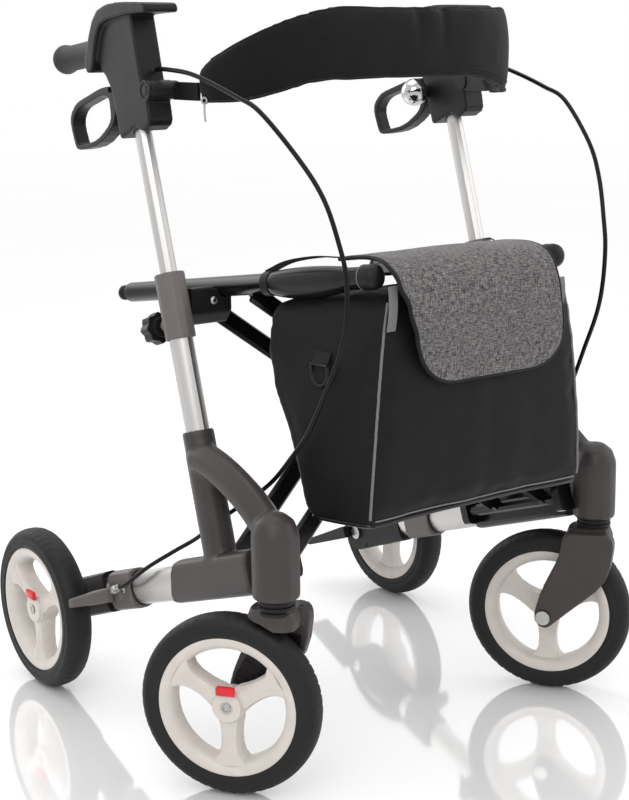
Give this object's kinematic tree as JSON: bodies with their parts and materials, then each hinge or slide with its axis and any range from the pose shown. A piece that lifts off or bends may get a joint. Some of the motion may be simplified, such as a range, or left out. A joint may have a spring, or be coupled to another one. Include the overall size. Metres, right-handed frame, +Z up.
{
  "type": "rollator walker",
  "caption": "Folding four-wheeled rollator walker with cast side frames, height-adjustable brake handles, a cross-braced seat, a backrest band and a front bag.",
  "frame": {"origin": "on the floor, midway between the side frames, near the middle of the wheelbase", "axes": "+Z up, -Y is the walking direction, +X is the walker's left"},
  "size_m": [0.6315, 0.6214, 0.8282],
  "materials": {
    "casting_grey": "satin",
    "clamp_grey": "satin",
    "silver_tube": "satin",
    "steel": "satin",
    "chrome": "polished",
    "black_plastic": "matte",
    "black_paint": "satin",
    "grip_rubber": "matte",
    "tyre_rubber": "matte",
    "rim_plastic": "satin",
    "red_plastic": "gloss",
    "black_nylon": "matte",
    "grey_felt": "matte"
  },
  "bodies": {
    "right_frame": {"right_casting": "casting_grey", "right_lower_tube": "silver_tube", "right_upright_tube": "silver_tube", "right_rear_housing": "black_plastic", "right_rear_axle": "steel", "right_brake_collar": "clamp_grey", "right_pivot_bracket": "black_paint", "right_clamp_housing": "clamp_grey", "right_rail_rest": "black_plastic", "right_brake_cable": "black_plastic"},
    "left_frame": {"left_casting": "casting_grey", "left_lower_tube": "silver_tube", "left_upright_tube": "silver_tube", "left_rear_housing": "black_plastic", "left_rear_axle": "steel", "left_brake_collar": "clamp_grey", "left_pivot_bracket": "black_paint", "left_clamp_housing": "clamp_grey", "left_rail_rest": "black_plastic", "left_brake_cable": "black_plastic"},
    "brace_a": {"brace_to_left_rail": "black_paint", "left_seat_rail": "black_paint", "brace_bolt": "steel", "seat": "black_nylon"},
    "brace_b": {"brace_to_right_rail": "black_paint", "right_seat_rail": "black_paint"},
    "bag_body": {"bag": "black_nylon"},
    "bag_lid": {"bag_flap": "grey_felt"},
    "right_mast": {"right_mast_tube": "silver_tube", "right_handle": "black_plastic", "right_grip": "grip_rubber"},
    "right_lever": {"right_brake_lever": "black_plastic"},
    "right_shoe": {"right_brake_arm": "clamp_grey"},
    "right_knob": {"right_clamp_knob": "black_plastic"},
    "right_backrest": {"right_backrest_arm": "black_plastic", "backrest_band": "black_nylon"},
    "right_caster": {"right_fork": "casting_grey", "right_front_axle": "steel"},
    "right_front_wheel": {"right_front_rim": "rim_plastic", "right_front_tyre": "tyre_rubber"},
    "right_rear_wheel": {"right_rear_rim": "rim_plastic", "right_rear_tyre": "tyre_rubber"},
    "right_front_release": {"right_front_button": "red_plastic"},
    "right_rear_release": {"right_rear_button": "red_plastic"},
    "left_mast": {"left_mast_tube": "silver_tube", "left_handle": "black_plastic", "left_grip": "grip_rubber", "bell": "chrome"},
    "left_lever": {"left_brake_lever": "black_plastic"},
    "left_shoe": {"left_brake_arm": "clamp_grey"},
    "left_knob": {"left_clamp_knob": "black_plastic"},
    "left_backrest": {"left_backrest_arm": "black_plastic"},
    "left_caster": {"left_fork": "casting_grey", "left_front_axle": "steel"},
    "left_front_wheel": {"left_front_rim": "rim_plastic", "left_front_tyre": "tyre_rubber"},
    "left_rear_wheel": {"left_rear_rim": "rim_plastic", "left_rear_tyre": "tyre_rubber"},
    "left_front_release": {"left_front_button": "red_plastic"},
    "left_rear_release": {"left_rear_button": "red_plastic"}
  },
  "joints": [
    {"name": "fold", "type": "hinge", "parent": "right_frame", "child": "brace_a", "pos_m": [-0.2, -0.10089, 0.21995], "axis": [0, -0.9492, 0.3148], "range_deg": [0, 38], "deforming": ["seat", "bag", "bag_flap", "backrest_band"]},
    {"name": "brace_scissor", "type": "hinge", "parent": "brace_a", "child": "brace_b", "pos_m": [0, 0.10726, 0.32337], "axis": [0, -0.9492, 0.3148], "range_deg": [-76, 0]},
    {"name": "left_side_fold", "type": "hinge", "parent": "brace_b", "child": "left_frame", "pos_m": [0.2, -0.10089, 0.21995], "axis": [0, -0.9492, 0.3148], "range_deg": [0, 38]},
    {"name": "bag_hang", "type": "hinge", "parent": "brace_a", "child": "bag_body", "pos_m": [0, 0.10726, 0.32337], "axis": [0, -0.9492, 0.3148], "range_deg": [-38, 0]},
    {"name": "bag_lid_hinge", "type": "hinge", "parent": "bag_body", "child": "bag_lid", "pos_m": [0, -0.15, 0.557], "axis": [-1, 0, 0], "range_deg": [0, 100]},
    {"name": "right_mast_slide", "type": "slide", "parent": "right_frame", "child": "right_mast", "axis": [0, 0.2798, 0.96], "range_m": [0, 0.144], "deforming": ["right_brake_cable"]},
    {"name": "right_knob_turn", "type": "hinge", "parent": "right_frame", "child": "right_knob", "pos_m": [-0.2265, -0.01484, 0.486], "axis": [0, 0.96, -0.2798], "range_deg": [0, 360]},
    {"name": "right_lever_squeeze", "type": "hinge", "parent": "right_mast", "child": "right_lever", "pos_m": [-0.2265, 0.096, 0.735], "axis": [1, 0, 0], "range_deg": [0, 15], "stiffness_Nm_per_rad": 4, "springref_deg": -11.46},
    {"name": "right_brake_press", "type": "hinge", "parent": "right_frame", "child": "right_shoe", "pos_m": [-0.2485, 0.12819, 0.13871], "axis": [0, -0.3148, -0.9492], "range_deg": [0, 6]},
    {"name": "right_backrest_hinge", "type": "hinge", "parent": "right_mast", "child": "right_backrest", "pos_m": [-0.2265, 0.008, 0.735], "axis": [-1, 0, 0], "range_deg": [0, 75]},
    {"name": "right_caster_swivel", "type": "hinge", "parent": "right_frame", "child": "right_caster", "pos_m": [-0.2339, -0.2026, 0.2], "axis": [0, 0, 1], "continuous": true},
    {"name": "right_front_spin", "type": "hinge", "parent": "right_caster", "child": "right_front_wheel", "pos_m": [-0.26488, -0.15996, 0.1], "axis": [0.809, 0.5878, 0], "continuous": true},
    {"name": "right_rear_spin", "type": "hinge", "parent": "right_frame", "child": "right_rear_wheel", "pos_m": [-0.28, 0.24, 0.1], "axis": [1, 0, 0], "continuous": true},
    {"name": "right_front_release_press", "type": "slide", "parent": "right_front_wheel", "child": "right_front_release", "axis": [0.809, 0.5878, 0], "range_m": [0, 0.003], "stiffness_N_per_m": 400, "springref_m": -0.002},
    {"name": "right_rear_release_press", "type": "slide", "parent": "right_rear_wheel", "child": "right_rear_release", "axis": [1, 0, 0], "range_m": [0, 0.003], "stiffness_N_per_m": 400, "springref_m": -0.002},
    {"name": "left_mast_slide", "type": "slide", "parent": "left_frame", "child": "left_mast", "axis": [0, 0.2798, 0.96], "range_m": [0, 0.144], "deforming": ["left_brake_cable"]},
    {"name": "left_knob_turn", "type": "hinge", "parent": "left_frame", "child": "left_knob", "pos_m": [0.2265, -0.01484, 0.486], "axis": [0, 0.96, -0.2798], "range_deg": [0, 360]},
    {"name": "left_lever_squeeze", "type": "hinge", "parent": "left_mast", "child": "left_lever", "pos_m": [0.2265, 0.096, 0.735], "axis": [1, 0, 0], "range_deg": [0, 15], "stiffness_Nm_per_rad": 4, "springref_deg": -11.46},
    {"name": "left_brake_press", "type": "hinge", "parent": "left_frame", "child": "left_shoe", "pos_m": [0.2485, 0.12819, 0.13871], "axis": [0, 0.3148, 0.9492], "range_deg": [0, 6]},
    {"name": "left_backrest_hinge", "type": "hinge", "parent": "left_mast", "child": "left_backrest", "pos_m": [0.2265, 0.008, 0.735], "axis": [-1, 0, 0], "range_deg": [0, 75]},
    {"name": "left_caster_swivel", "type": "hinge", "parent": "left_frame", "child": "left_caster", "pos_m": [0.2339, -0.2026, 0.2], "axis": [0, 0, 1], "continuous": true},
    {"name": "left_front_spin", "type": "hinge", "parent": "left_caster", "child": "left_front_wheel", "pos_m": [0.20443, -0.15891, 0.1], "axis": [0.829, 0.5592, 0], "continuous": true},
    {"name": "left_rear_spin", "type": "hinge", "parent": "left_frame", "child": "left_rear_wheel", "pos_m": [0.28, 0.24, 0.1], "axis": [1, 0, 0], "continuous": true},
    {"name": "left_front_release_press", "type": "slide", "parent": "left_front_wheel", "child": "left_front_release", "axis": [-0.829, -0.5592, 0], "range_m": [0, 0.003], "stiffness_N_per_m": 400, "springref_m": -0.002},
    {"name": "left_rear_release_press", "type": "slide", "parent": "left_rear_wheel", "child": "left_rear_release", "axis": [-1, 0, 0], "range_m": [0, 0.003], "stiffness_N_per_m": 400, "springref_m": -0.002}
  ],
  "couplings": [
    {"joint": "brace_scissor", "follows": "fold", "ratio": -2},
    {"joint": "left_side_fold", "follows": "fold", "ratio": 1},
    {"joint": "bag_hang", "follows": "fold", "ratio": -1},
    {"joint": "right_brake_press", "follows": "right_lever_squeeze", "ratio": 0.4},
    {"joint": "left_brake_press", "follows": "left_lever_squeeze", "ratio": 0.4},
    {"joint": "left_mast_slide", "follows": "right_mast_slide", "ratio": 1},
    {"joint": "left_backrest_hinge", "follows": "right_backrest_hinge", "ratio": 1}
  ]
}
